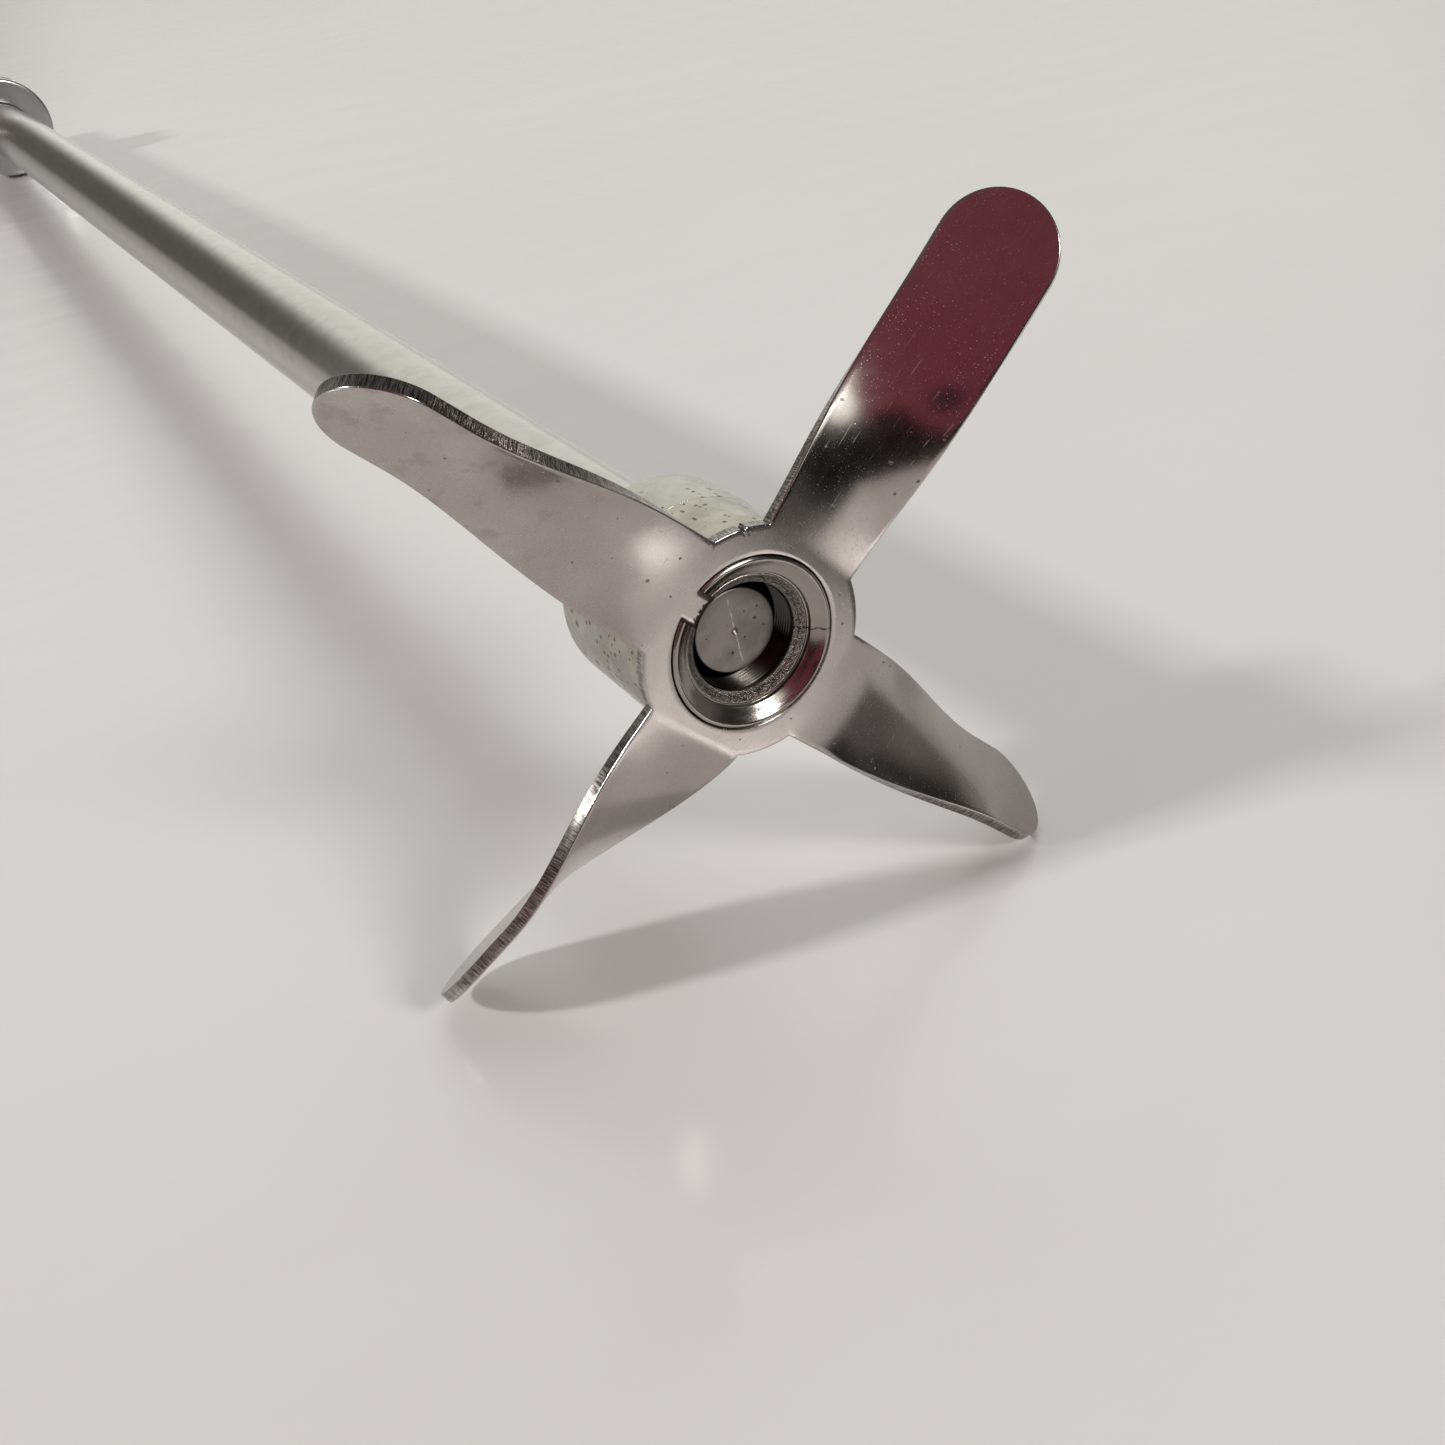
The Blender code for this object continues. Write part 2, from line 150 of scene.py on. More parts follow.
# Table, in metres. The steel doesn't mirror it in front of TABLE_FRONT_Y, nor in front of
# TABLE_CORNER_Y to the right of TABLE_CORNER_X, where dark surroundings show instead.
TABLE_CORNER_X = 0.044
TABLE_CORNER_Y = -0.245
TABLE_FRONT_Y = -0.42
TABLE_REACH = 4.0
TABLE_REAR_Y = 6.0

# Lamps: azimuth and elevation in degrees, distance and side in metres, power, colour, mirrored
LAMPS = {
    "key": (158.0, 34.0, 0.9, 0.20, 3.2, (1.0, 0.98, 0.95), True),
    "side": (-79.0, 31.5, 1.1, 0.10, 6.4, (1.0, 0.98, 0.97), True),
    "top": (55.0, 62.0, 1.1, 1.0, 3.0, (1.0, 1.0, 1.0), False),
}


# ---- where the propeller's axis lies ------------------------------------------------------------

def solid_points(node):
    """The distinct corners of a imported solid, in metres."""
    corners = np.array([vertex.co[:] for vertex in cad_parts[node].data.vertices])
    return np.unique(corners.round(6), axis=0)


def axis_matrix():
    """Millimetres along the axis to metres in the row frame, from the shaft and one grub screw."""
    shaft = solid_points("shaft_tube")
    front_half = shaft[:, 1] < shaft[:, 1].mean()
    front, rear = shaft[front_half].mean(0), shaft[~front_half].mean(0)
    nose = Vector(front - rear).normalized()
    reach = (shaft @ np.array(nose)).max() - SHAFT_FRONT_Z * MM
    origin = Vector(front) + nose * (reach - Vector(front).dot(nose))
    spoke = Vector(solid_points("collar_screw_1").mean(0)) - origin
    spoke = (spoke - nose * spoke.dot(nose)).normalized()
    spoke = Matrix.Rotation(-SCREW_AZIMUTHS[0], 3, nose) @ spoke
    columns = Matrix((spoke, nose.cross(spoke), nose)).transposed().to_4x4()
    return Matrix.Translation(origin) @ columns @ Matrix.Scale(MM, 4)


PLACE = axis_matrix()


# ---- shapes -------------------------------------------------------------------------------------

def smoothstep(value):
    value = min(max(value, 0.0), 1.0)
    return value * value * (3.0 - 2.0 * value)


def hump(value, centre, width):
    return math.exp(-((value - centre) / width) ** 2)


class Shape:
    """Points in millimetres with the faces between them; marks holds one extra vector per point."""

    def __init__(self):
        self.points = []
        self.marks = []
        self.faces = []
        self.materials = []

    def add(self, point, mark=(0.0, 0.0, 0.0)):
        self.points.append(tuple(point))
        self.marks.append(mark)
        return len(self.points) - 1

    def face(self, corners, material=0):
        if len(set(corners)) > 2:
            self.faces.append(tuple(dict.fromkeys(corners)))
            self.materials.append(material)

    def bridge(self, first, second, material=0, closed=True):
        """Quads between two rows of points of equal length."""
        count = len(first)
        for i in range(count if closed else count - 1):
            after = (i + 1) % count
            self.face((first[i], first[after], second[after], second[i]), material)

    def mesh(self, name):
        """A mesh whose faces look outwards, without the points that no face uses."""
        mesh = bpy.data.meshes.new(name)
        mesh.from_pydata(self.points, [], self.faces)
        mesh.polygons.foreach_set("material_index", self.materials)
        edge = mesh.attributes.new("edge", "FLOAT_VECTOR", "POINT")
        edge.data.foreach_set("vector", np.array(self.marks, np.float32).ravel())
        work = bmesh.new()
        work.from_mesh(mesh)
        loose = [vertex for vertex in work.verts if not vertex.link_faces]
        bmesh.ops.delete(work, geom=loose, context="VERTS")
        bmesh.ops.recalc_face_normals(work, faces=work.faces)
        work.to_mesh(mesh)
        work.free()
        return mesh


def new_object(name, data):
    obj = bpy.data.objects.new(name, data)
    bpy.context.scene.collection.objects.link(obj)
    return obj


def cut_away(obj, cutter):
    """Subtract a closed mesh from an object that is still in millimetres."""
    tool = new_object(obj.name + "_cutter", cutter)
    modifier = obj.modifiers.new("cut", "BOOLEAN")
    modifier.operation = "DIFFERENCE"
    modifier.solver = "EXACT"
    modifier.object = tool
    graph = bpy.context.evaluated_depsgraph_get()
    result = bpy.data.meshes.new_from_object(obj.evaluated_get(graph))
    obj.modifiers.clear()
    obj.data = result
    bpy.data.objects.remove(tool)


def settle(obj, materials, node, sharp=38.0):
    """Finish a piece: keep its own coordinates for the materials, put it in place, let it ride."""
    mesh = obj.data
    corners = np.zeros(len(mesh.vertices) * 3, np.float32)
    mesh.vertices.foreach_get("co", corners)
    spot = mesh.attributes.new("spot", "FLOAT_VECTOR", "POINT")
    spot.data.foreach_set("vector", corners)
    mesh.transform(PLACE)
    indices = [min(polygon.material_index, len(materials) - 1) for polygon in mesh.polygons]
    mesh.materials.clear()               # this sets every index back to 0
    for material in materials:
        mesh.materials.append(material)
    mesh.polygons.foreach_set("material_index", indices)
    mesh.shade_smooth()
    mesh.set_sharp_from_angle(angle=math.radians(sharp))
    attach(obj, "root")
    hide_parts(node)
    return obj


def filleted(corners, steps=3):
    """Round the corners of a turned profile; each corner is (radius, z) or (radius, z, fillet)."""
    profile = []
    count = len(corners)
    for i, corner in enumerate(corners):
        here = Vector(corner[:2])
        if len(corner) < 3 or corner[2] == 0.0:
            profile.append(tuple(here))
            continue
        before = Vector(corners[i - 1][:2]) - here
        after = Vector(corners[(i + 1) % count][:2]) - here
        reach = min(corner[2], 0.45 * before.length, 0.45 * after.length)
        start, end = here + before.normalized() * reach, here + after.normalized() * reach
        for k in range(steps + 1):
            t = k / steps
            point = start * (1 - t) ** 2 + here * 2 * t * (1 - t) + end * t ** 2
            profile.append(tuple(point))
    return profile


def turned_shape(corners, steps, open_ends=False, bend=None, fillet_steps=3):
    """Turn a profile about the axis. Points on the axis close it; otherwise it closes on itself."""
    profile = filleted(corners, fillet_steps)
    shape = Shape()
    rings = []
    for radius, z in profile:
        if radius < 1e-6:
            rings.append([shape.add((0.0, 0.0, z))] * steps)
            continue
        ring = []
        for k in range(steps):
            angle = 2.0 * math.pi * k / steps
            r, h = bend(radius, angle, z) if bend else (radius, z)
            ring.append(shape.add((r * math.cos(angle), r * math.sin(angle), h)))
        rings.append(ring)
    pairs = list(zip(rings, rings[1:]))
    if not open_ends:
        pairs.append((rings[-1], rings[0]))
    for first, second in pairs:
        shape.bridge(first, second)
    return shape


# ---- blade star ---------------------------------------------------------------------------------

CORE_SPAN = CORE_RADIUS * math.cos(CORNER_ANGLE)
ROOT_HALF = CORE_RADIUS * math.sin(CORNER_ANGLE)
ROWS, TIP_ROWS, COLUMNS, ARC_STEPS, CORE_RINGS = 70, 16, 28, 44, 6
TAB_COLUMNS, TAB_ROWS = 4, 6
FRONT_ROUND, BACK_ROUND = 0.14, 0.06
FACE_STEEL, EDGE_STEEL = 0, 1        # the star's two materials
# How the sheared edge goes from the front face to the back one, rolled over first: (inset, depth)
ROLLOVER = [
    (FRONT_ROUND * (1.0 - math.sin(math.radians(turned))),
     FRONT_ROUND * (1.0 - math.cos(math.radians(turned))))
    for turned in (22.5, 45.0, 67.5, 90.0)
]
EDGE_PROFILE = ROLLOVER + [
    (0.0, FRONT_ROUND + 0.02),
    (0.0, 0.5),
    (0.012, 0.62),
    (0.012, SHEET - BACK_ROUND - 0.03),
    (0.012, SHEET - BACK_ROUND),
]
# The same for the hole's edge: (retreat, depth)
HOLE_ROUND = 0.05
HOLE_PROFILE = ((0.015, 0.015), (0.0, HOLE_ROUND), (0.0, 0.6), (0.0, SHEET - 0.06))


def turn_to(blade, x, y, z):
    """A point given for blade 0, turned to another blade."""
    angle = 2.0 * math.pi * blade / BLADE_COUNT
    cosine, sine = math.cos(angle), math.sin(angle)
    return Vector((x * cosine - y * sine, x * sine + y * cosine, z))


def sheet_point(blade, distance, across):
    """A point of the star's front face: flat in the core, bent and twisted beyond the root."""
    sweep, bend, twist_share, end_share = BLADE_SET[blade]
    run = max(distance - CORE_SPAN, 0.0)
    if run == 0.0:
        return turn_to(blade, distance, across, 0.0)
    reach = TWIST_END * end_share - TWIST_START
    start = smoothstep((CORE_SPAN - TWIST_START) / reach)
    ramp = smoothstep((distance - TWIST_START) / reach)
    eased = run / (run + ROOT_EASE)
    pitch = TWIST * twist_share * eased * (ramp - start) / (1.0 - start)
    side = run * math.tan(math.radians(sweep)) + across * math.cos(pitch)
    lift = eased * run * math.tan(math.radians(bend)) - across * math.sin(pitch)
    return turn_to(blade, distance, side, lift)


def sheet_normal(blade, distance, across):
    if distance <= CORE_SPAN:
        return Vector((0.0, 0.0, 1.0))
    step = 0.01
    ahead, behind = (sheet_point(blade, distance + d, across) for d in (step, -step))
    left, right = (sheet_point(blade, distance, across + d) for d in (step, -step))
    return (ahead - behind).cross(left - right).normalized()


def sheet_at(spot, depth):
    return sheet_point(*spot) - sheet_normal(*spot) * depth


def blade_rows(blade, inset):
    """Rows of (blade, distance, across) from root to tip, the edge drawn in by inset."""
    straight_end = TIP_RADIUS - BLADE_HALF_WIDTH
    half_end = BLADE_HALF_WIDTH - inset
    half_root = ROOT_HALF - inset
    root = math.sqrt((CORE_RADIUS - inset) ** 2 - half_root ** 2)
    rows = []
    for i in range(ROWS + 1):
        share = i / ROWS
        distance = root + (straight_end - root) * share
        taper = max(0.0, 1.0 - ROOT_TAPER * share)
        rows.append((distance, half_end + (half_root - half_end) * taper))
    for i in range(1, TIP_ROWS):
        angle = 0.5 * math.pi * i / TIP_ROWS
        rows.append((straight_end + half_end * math.sin(angle), half_end * math.cos(angle)))
    grid = [[(blade, distance, half * (2.0 * j / COLUMNS - 1.0)) for j in range(COLUMNS + 1)]
            for distance, half in rows]
    return grid, (blade, straight_end + half_end, 0.0)


def core_arc(blade, inset):
    """Edge of the core between this blade and the next, with the nick in the first one."""
    corner = math.asin((ROOT_HALF - inset) / (CORE_RADIUS - inset))
    spots = []
    for i in range(1, ARC_STEPS):
        angle = corner + (0.5 * math.pi - 2.0 * corner) * i / ARC_STEPS
        radius = CORE_RADIUS - inset
        if blade == 0:
            degrees = math.degrees(angle)
            radius -= NICK_DEPTH * hump(degrees, NICK_ANGLE, NICK_WIDTH)
            radius += BURR_HEIGHT * hump(degrees, BURR_ANGLE, NICK_WIDTH)
            radius -= ARC_WEAR * max(0.0, noise.noise(Vector((degrees * 0.9, 3.0, 0.0))))
        spots.append((blade, radius * math.cos(angle), radius * math.sin(angle)))
    return spots


def star_edge(inset):
    """The whole outer edge as spots: each blade root to root, then the arc to the next blade."""
    edge = []
    for blade in range(BLADE_COUNT):
        grid, tip = blade_rows(blade, inset)
        edge += [row[0] for row in grid] + [tip] + [row[-1] for row in reversed(grid)]
        edge += core_arc(blade, inset)
    return edge


def hole_path(retreat, depth):
    """The star's hole as plane points: a circle, with the key tab reaching inwards."""
    slope = (HOLE_FRONT_RADIUS - HOLE_BACK_RADIUS) / SHEET
    radius = HOLE_FRONT_RADIUS - slope * depth + retreat
    half = KEY_HALF_WIDTH - retreat
    tip = KEY_TIP_RADIUS + retreat
    corner = math.asin(half / radius)
    path = []
    for blade in range(BLADE_COUNT):
        angles = [CORNER_ANGLE * (2.0 * j / COLUMNS - 1.0) for j in range(COLUMNS + 1)]
        if blade == KEYED_BLADE:
            for j in range(-TAB_COLUMNS, TAB_COLUMNS + 1):
                angles[COLUMNS // 2 + j] = corner * j / TAB_COLUMNS
        angles += [CORNER_ANGLE + (0.5 * math.pi - 2.0 * CORNER_ANGLE) * i / ARC_STEPS
                   for i in range(1, ARC_STEPS)]
        path += [turn_to(blade, radius * math.cos(angle), radius * math.sin(angle), -depth)
                 for angle in angles]
    tab = []
    for row in range(1, TAB_ROWS + 1):
        line = []
        for j in range(-TAB_COLUMNS, TAB_COLUMNS + 1):
            across = half * j / TAB_COLUMNS
            foot = math.sqrt(radius ** 2 - across ** 2)
            ragged, frayed = 0.0, 0.0
            if row == TAB_ROWS:
                ragged = KEY_TIP_FRAY * noise.noise(Vector((j * 0.83, 7.3, 0.4)))
            if abs(j) == TAB_COLUMNS:
                frayed = KEY_SIDE_FRAY * noise.noise(Vector((row * 0.9, 2.0 + j, 0.0)))
            reach = foot + (tip + ragged - foot) * row / TAB_ROWS
            line.append(turn_to(KEYED_BLADE, reach, across + frayed, -depth))
        tab.append(line)
    return path, tab


def star_shape():
    """The star as one closed sheet; its edge carries marks of (run along it, depth)."""
    shape = Shape()
    middle = KEYED_BLADE * (COLUMNS + ARC_STEPS) + COLUMNS // 2  # of the tab, round the hole

    def hole_lines(retreat, depth):
        """Points round the hole, and the key tab's rows of points from its foot to its tip."""
        path, tab = hole_path(retreat, depth)
        hole = [shape.add(point) for point in path]
        foot = hole[middle - TAB_COLUMNS:middle + TAB_COLUMNS + 1]
        return hole, [foot] + [[shape.add(point) for point in line] for line in tab]

    def hole_edge(hole, lines):
        """One row of points round the hole, in at one side of the tab and out at the other."""
        left = [line[0] for line in lines[1:]]
        right = [line[-1] for line in reversed(lines[1:])]
        return (hole[:middle - TAB_COLUMNS + 1] + left + lines[-1][1:-1] + right
                + hole[middle + TAB_COLUMNS:])

    def face_side(inset, depth):
        """One face of the sheet; returns its outer edge and the hole's edge as rows of points."""
        outer, rim = [], []
        for blade in range(BLADE_COUNT):
            grid, tip = blade_rows(blade, inset)
            rows = [[shape.add(sheet_at(spot, depth)) for spot in row] for row in grid]
            end = shape.add(sheet_at(tip, depth))
            for lower, upper in zip(rows, rows[1:]):
                shape.bridge(lower, upper, closed=False)
            for j in range(COLUMNS):
                shape.face((rows[-1][j], end, rows[-1][j + 1]))
            arc = [shape.add(sheet_at(spot, depth)) for spot in core_arc(blade, inset)]
            outer += [row[0] for row in rows] + [end] + [row[-1] for row in reversed(rows)] + arc
            rim += rows[0] + arc
        hole, lines = hole_lines(HOLE_ROUND, depth)
        rings = [rim]
        for k in range(1, CORE_RINGS):
            share = k / CORE_RINGS
            ring = []
            for outside, inside in zip(rim, hole):
                point = Vector(shape.points[outside]).lerp(Vector(shape.points[inside]), share)
                ring.append(shape.add(point))
            rings.append(ring)
        rings.append(hole)
        for first, second in zip(rings, rings[1:]):
            shape.bridge(first, second)
        for first, second in zip(lines, lines[1:]):
            shape.bridge(first, second, closed=False)
        return outer, hole_edge(hole, lines)

    front, front_hole = face_side(FRONT_ROUND, 0.0)
    back, back_hole = face_side(BACK_ROUND, SHEET)

    spots = star_edge(0.0)
    places = [sheet_point(*spot) for spot in spots]
    runs = [0.0]
    for before, after in zip(places, places[1:]):
        runs.append(runs[-1] + (after - before).length)
    previous = front
    for k, (inset, depth) in enumerate(EDGE_PROFILE):
        row = [shape.add(sheet_at(spot, depth), (run, depth, 0.0))
               for spot, run in zip(star_edge(inset), runs)]
        shape.bridge(previous, row, FACE_STEEL if k < len(ROLLOVER) else EDGE_STEEL)
        previous = row
    shape.bridge(previous, back, EDGE_STEEL)

    previous = front_hole
    for retreat, depth in HOLE_PROFILE:
        row = hole_edge(*hole_lines(retreat, depth))
        shape.bridge(previous, row)
        previous = row
    shape.bridge(previous, back_hole)
    return shape


# ---- hub, stud and shaft ------------------------------------------------------------------------

def lip_shape(radius, angle, z):
    """Irregularities of the flared lip: the hairline crack across it and an uneven outer edge."""
    if radius > 7.9 or z < -2.2 or radius < 4.0:
        return radius, z
    wander = math.radians(1.4 * (7.4 - radius) + 0.5 * math.sin(5.0 * radius))
    off = abs((angle - CRACK_AZIMUTH - wander + math.pi) % (2.0 * math.pi) - math.pi) * radius
    z -= CRACK_DEPTH * max(0.0, 1.0 - off / CRACK_HALF_WIDTH) if z > -1.3 else 0.0
    if radius > 7.0 and z > -0.35:
        radius += LIP_WAVE * noise.noise(Vector((math.cos(angle) * 4.0, math.sin(angle) * 4.0, z)))
    return radius, z


def boss_shape():
    """The boss: lip, seat of the star, outside, rear, threaded bore and flare."""
    back = -SHEET - 0.08
    corners = [
        (7.18, 0.13, 0.10),
        (LIP_RADIUS, -0.02, 0.12),
        (SPIGOT_RADIUS + 0.16, -SHEET + 0.05),
        (SPIGOT_RADIUS, -SHEET),
        (SPIGOT_RADIUS, back),
        (BOSS_RADIUS, back, 0.22),
        (BOSS_RADIUS, -4.0),
        (BOSS_RADIUS, -6.5),
        (BOSS_RADIUS, BOSS_REAR_Z, 0.03),
        (BOSS_BORE_RADIUS, BOSS_REAR_Z, 0.2),
    ]
    z = THREAD_REAR_Z
    while z < THREAD_FRONT_Z:
        corners.append((BOSS_BORE_RADIUS + THREAD_GROOVE, z))
        corners.append((BOSS_BORE_RADIUS - THREAD_CREST, z + THREAD_FLANK))
        z += THREAD_PITCH
    corners += [
        (4.72, -1.60),
        (4.78, -1.50, 0.05),
        (4.98, -1.44, 0.05),
        (5.12, -1.36, 0.03),
        (5.16, -1.27, 0.03),
        (5.36, -1.12),
        (5.60, -0.90, 0.06),
        (5.70, -0.93, 0.04),
        (5.80, -0.90, 0.03),
        (5.88, -0.60, 0.05),
        (6.35, -0.36),
        (6.80, -0.09),
        (7.02, 0.08, 0.10),
    ]
    return turned_shape(corners, BOSS_STEPS, bend=lip_shape)


def notch_cutter():
    """Slot through the lip for the key tab, its inner end torn."""
    shape = Shape()
    half = KEY_HALF_WIDTH + NOTCH_CLEARANCE
    steps = 14
    left, right = [], []
    for i in range(steps + 1):
        reach = NOTCH_INNER_RADIUS + (NOTCH_OUTER_RADIUS - NOTCH_INNER_RADIUS) * i / steps
        torn = NOTCH_TORN if reach < NOTCH_TORN_RADIUS else NOTCH_CUT
        left.append((reach, half + torn * noise.noise(Vector((reach * 3.1, 1.0, 0.0)))))
        right.append((reach, -half + torn * noise.noise(Vector((reach * 2.7, 9.0, 0.0)))))
    loop = right + left[::-1]
    low = [shape.add(turn_to(KEYED_BLADE, x, y, NOTCH_FLOOR_Z)) for x, y in loop]
    high = [shape.add(turn_to(KEYED_BLADE, x, y, NOTCH_TOP_Z)) for x, y in loop]
    shape.bridge(low, high)
    shape.face(low)
    shape.face(high)
    return shape.mesh("notch")


def ferrule_shape():
    corners = [
        (BOSS_RADIUS, FERRULE_FRONT_Z, 0.03),
        (BOSS_RADIUS, -12.0),
        (BOSS_RADIUS, FERRULE_REAR_Z, 1.5),
        (SHAFT_RADIUS + 0.08, FERRULE_REAR_Z, 0.15),
        (SHAFT_RADIUS + 0.08, FERRULE_FRONT_Z, 0.1),
    ]
    return turned_shape(corners, FERRULE_STEPS, fillet_steps=8)


def stud_shape():
    """The stud, with a centre mark in its face."""
    corners = [
        (0.0, STUD_FACE_Z - 0.22),
        (0.10, STUD_FACE_Z - 0.20),
        (0.26, STUD_FACE_Z - 0.03, 0.05),
        (0.34, STUD_FACE_Z, 0.03),
        (1.6, STUD_FACE_Z - 0.01),
        (2.8, STUD_FACE_Z),
        (STUD_FACE_RADIUS, STUD_FACE_Z, 0.14),
        (STUD_FACE_RADIUS, STUD_FACE_Z - 1.0, 0.1),
        (STUD_RADIUS, STUD_FACE_Z - 1.4, 0.1),
        (STUD_RADIUS, STUD_REAR_Z, 0.5),
        (0.0, STUD_REAR_Z),
    ]
    return turned_shape(corners, SHAFT_STEPS, open_ends=True)


def tube_shape():
    """The shaft, its outside divided more finely towards the hub."""
    corners = [(SHAFT_RADIUS, SHAFT_FRONT_Z, 0.4)]
    corners += [(SHAFT_RADIUS, z) for z in (-20.0, -60.0, -120.0, -200.0, -300.0, -400.0)]
    corners += [
        (SHAFT_RADIUS, SHAFT_REAR_Z, 0.4),
        (SHAFT_BORE_RADIUS, SHAFT_REAR_Z, 0.1),
        (SHAFT_BORE_RADIUS, SHAFT_FRONT_Z, 0.1),
    ]
    return turned_shape(corners, SHAFT_STEPS)


# ---- drive end ----------------------------------------------------------------------------------

def spoke_matrix(azimuth, radius, z):
    """Turns +Z to point outwards along a spoke of the axis, from a radius on it."""
    outward = Matrix.Rotation(azimuth, 4, "Z") @ Matrix.Rotation(0.5 * math.pi, 4, "Y")
    return Matrix.Translation((radius * math.cos(azimuth), radius * math.sin(azimuth), z)) @ outward


def prism_mesh(name, sides, radius, low, high, matrix):
    shape = Shape()
    rings = []
    for z in (low, high):
        ring = []
        for k in range(sides):
            angle = 2.0 * math.pi * k / sides
            corner = Vector((radius * math.cos(angle), radius * math.sin(angle), z))
            ring.append(shape.add(matrix @ corner))
        rings.append(ring)
    shape.bridge(*rings)
    for ring in rings:
        shape.face(ring)
    return shape.mesh(name)


def collar_object():
    rear = COLLAR_FRONT_Z - COLLAR_LENGTH
    groove = 0.25
    corners = [
        (COLLAR_RADIUS, COLLAR_FRONT_Z, 0.8),
        (COLLAR_RADIUS, COLLAR_FRONT_Z - 2.2, 0.05),
        (COLLAR_RADIUS - groove, COLLAR_FRONT_Z - 2.4),
        (COLLAR_RADIUS - groove, COLLAR_FRONT_Z - 2.6),
        (COLLAR_RADIUS, COLLAR_FRONT_Z - 2.8, 0.05),
        (COLLAR_RADIUS, rear, 0.8),
        (COLLAR_BORE_RADIUS, rear, 0.3),
        (COLLAR_BORE_RADIUS, COLLAR_FRONT_Z, 0.3),
    ]
    mesh = turned_shape(corners, SHAFT_STEPS, fillet_steps=5).mesh("clamp_collar")
    collar = new_object("clamp_collar", mesh)
    for azimuth in SCREW_AZIMUTHS:
        matrix = spoke_matrix(azimuth, 0.0, COLLAR_MIDDLE_Z)
        hole_radius = SCREW_RADIUS + SCREW_CLEARANCE
        cut_away(collar, prism_mesh("screw_hole", 48, hole_radius, 5.0, 15.0, matrix))
    return collar


def screw_object(name, azimuth):
    """A headless screw with a six-sided socket and a bevelled point, its thread cut as rings."""
    point, margin, pitch, groove = 0.8, 0.5, 0.55, 0.28
    corners = [
        (0.0, SCREW_LENGTH),
        (SCREW_RADIUS, SCREW_LENGTH, 0.3),
    ]
    z = SCREW_LENGTH - margin
    while z > point + margin:
        corners += [(SCREW_RADIUS, z), (SCREW_RADIUS - groove, z - 0.2), (SCREW_RADIUS, z - 0.4)]
        z -= pitch
    corners += [(SCREW_RADIUS, point, 0.2), (SCREW_RADIUS - point, 0.0, 0.1), (0.0, 0.0)]
    screw = new_object(name, turned_shape(corners, SCREW_STEPS, open_ends=True).mesh(name))
    socket = prism_mesh("socket", 6, SCREW_SOCKET_RADIUS, SCREW_LENGTH - SCREW_SOCKET_DEPTH,
                        SCREW_LENGTH + 1.0, Matrix.Identity(4))
    cut_away(screw, socket)
    screw.data.transform(spoke_matrix(azimuth, SCREW_FOOT_RADIUS, COLLAR_MIDDLE_Z))
    return screw


def plug_shape():
    head_front = SHAFT_REAR_Z - 0.1
    head_rear = SHAFT_REAR_Z - 0.3 - PLUG_HEAD_LENGTH
    corners = [
        (0.0, SHAFT_REAR_Z + PLUG_SHANK_LENGTH),
        (STUD_RADIUS, SHAFT_REAR_Z + PLUG_SHANK_LENGTH, 0.8),
        (STUD_RADIUS, head_front),
        (SHAFT_RADIUS, head_front, 0.15),
        (SHAFT_RADIUS, head_rear, 0.9),
        (1.1, head_rear, 0.1),
        (0.5, head_rear + 0.5),
        (0.0, head_rear + 0.7),
    ]
    return turned_shape(corners, PLUG_STEPS, open_ends=True, fillet_steps=5)


# ---- materials ----------------------------------------------------------------------------------

class Graph:
    """Short calls for a material's or the world's nodes; each returns the socket to use next."""

    def __init__(self, tree):
        self.tree = tree

    def node(self, kind, inputs=None, output=0, **settings):
        made = self.tree.nodes.new("ShaderNode" + kind)
        for key, value in settings.items():
            setattr(made, key, value)
        for key, value in (inputs or {}).items():
            if isinstance(value, bpy.types.NodeSocket):
                self.tree.links.new(value, made.inputs[key])
            else:
                made.inputs[key].default_value = value
        return made.outputs[output] if made.outputs else None

    def math(self, operation, *values):
        return self.node("Math", dict(enumerate(values)), operation=operation)

    def vector(self, operation, first, second, output=0):
        return self.node("VectorMath", {0: first, 1: second}, output, operation=operation)

    def attribute(self, name):
        return self.node("Attribute", output="Vector", attribute_name=name)

    def stretched(self, vector, scale, turn=(0.0, 0.0, 0.0)):
        angles = tuple(math.radians(a) for a in turn)
        return self.node("Mapping", {"Vector": vector, "Rotation": angles, "Scale": scale})

    def noise(self, vector, scale, detail=2.0, roughness=0.5):
        return self.node("TexNoise", {
            "Vector": vector, "Scale": scale, "Detail": detail, "Roughness": roughness})

    def cells(self, vector, scale, flat=False):
        """Distance to the nearest of scattered points, and a random colour per point."""
        made = self.node("TexVoronoi", {"Vector": vector, "Scale": scale},
                         voronoi_dimensions="2D" if flat else "3D")
        return made, made.node.outputs["Color"]

    def ramp(self, value, low, high, start=0.0, end=1.0):
        return self.node("MapRange", {0: value, 1: low, 2: high, 3: start, 4: end},
                         interpolation_type="SMOOTHSTEP", clamp=True)

    def blend(self, share, first, second):
        def colour(value):
            return value if isinstance(value, bpy.types.NodeSocket) else (*value, 1.0)
        inputs = {0: share, 6: colour(first), 7: colour(second)}
        return self.node("Mix", inputs, 2, data_type="RGBA")

    def scaled(self, vector, factor):
        return self.node("VectorMath", {0: vector, "Scale": factor}, operation="SCALE")

    def length(self, vector):
        return self.node("VectorMath", {0: vector}, "Value", operation="LENGTH")

    def part(self, vector, index):
        """One of a vector's three numbers."""
        return self.node("SeparateXYZ", {0: vector}, index)

    def bump(self, height, distance, normal=None):
        inputs = {"Height": height, "Distance": distance}
        if normal is not None:
            inputs["Normal"] = normal
        return self.node("Bump", inputs)


def new_material(name):
    material = bpy.data.materials.new(name)
    material.use_nodes = True
    material.node_tree.nodes.clear()
    return material, Graph(material.node_tree)


